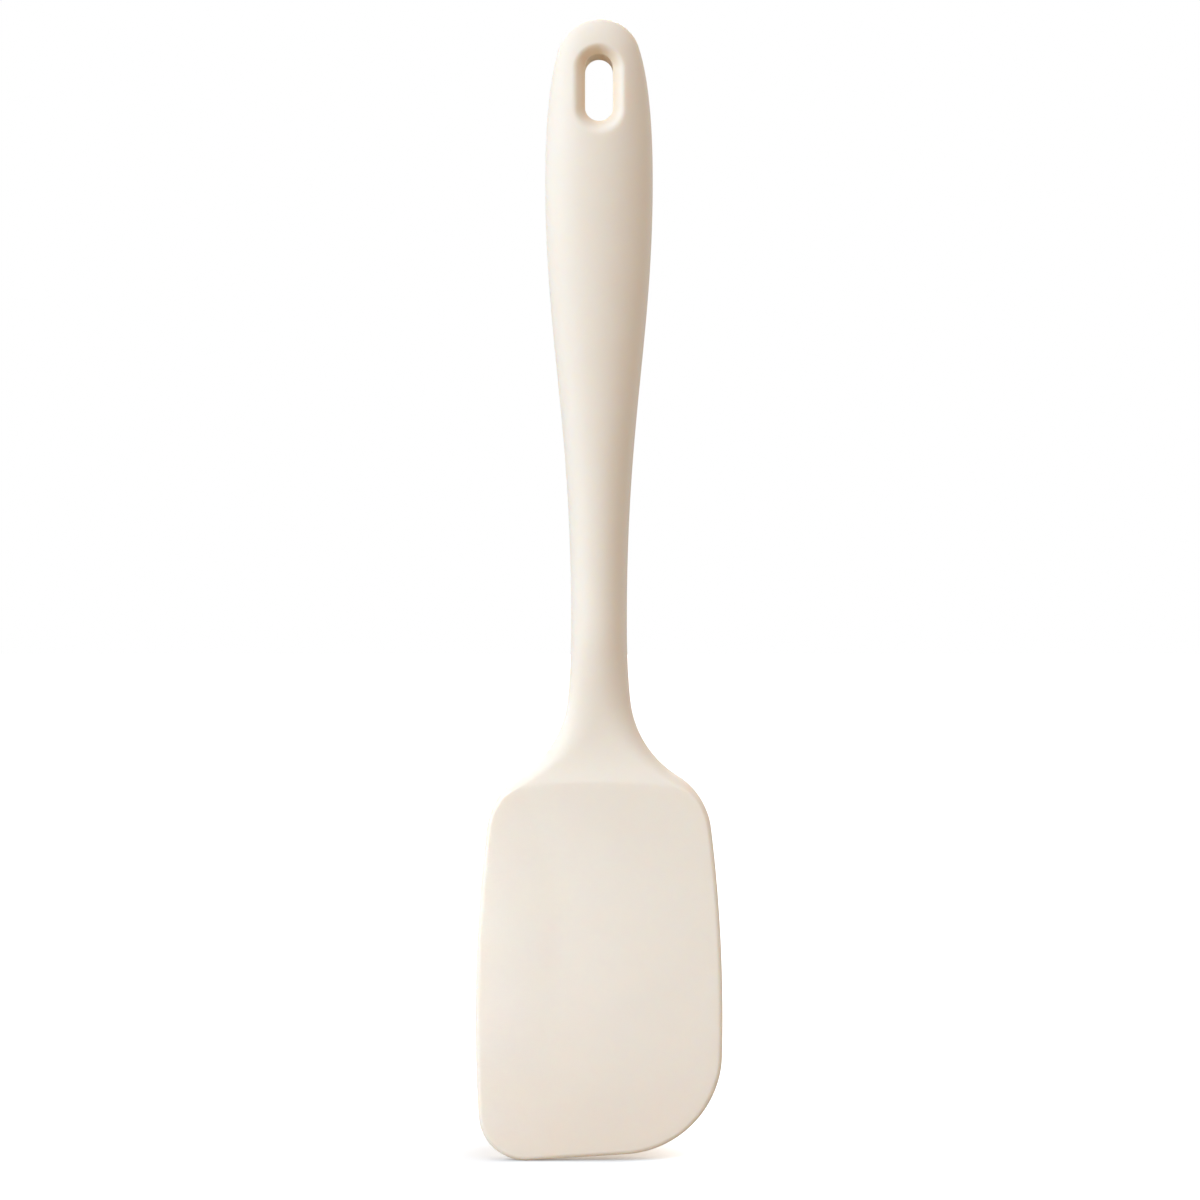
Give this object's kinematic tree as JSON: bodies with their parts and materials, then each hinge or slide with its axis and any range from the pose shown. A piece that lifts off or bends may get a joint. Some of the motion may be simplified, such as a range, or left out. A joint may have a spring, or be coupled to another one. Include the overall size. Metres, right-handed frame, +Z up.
{
  "type": "spatula",
  "caption": "Seamless silicone mixing spatula: oval handle with a flared hanging slot, scooped neck, and a flat tapered blade with a tight and a wide lower corner.",
  "frame": {"origin": "top of the hanging slot on the parting plane, where a hook bears", "axes": "+Z up the handle, away from the blade; +X to the wide lower corner of the blade; -Y out of the front face"},
  "size_m": [0.0618, 0.015, 0.285],
  "materials": {
    "silicone": "satin cream silicone with a fine mould grain",
    "nylon": "natural glass-filled nylon, hidden inside"
  },
  "bodies": {
    "root": {"front_skin": "silicone", "back_skin": "silicone", "core": "nylon"}
  },
  "joints": []
}
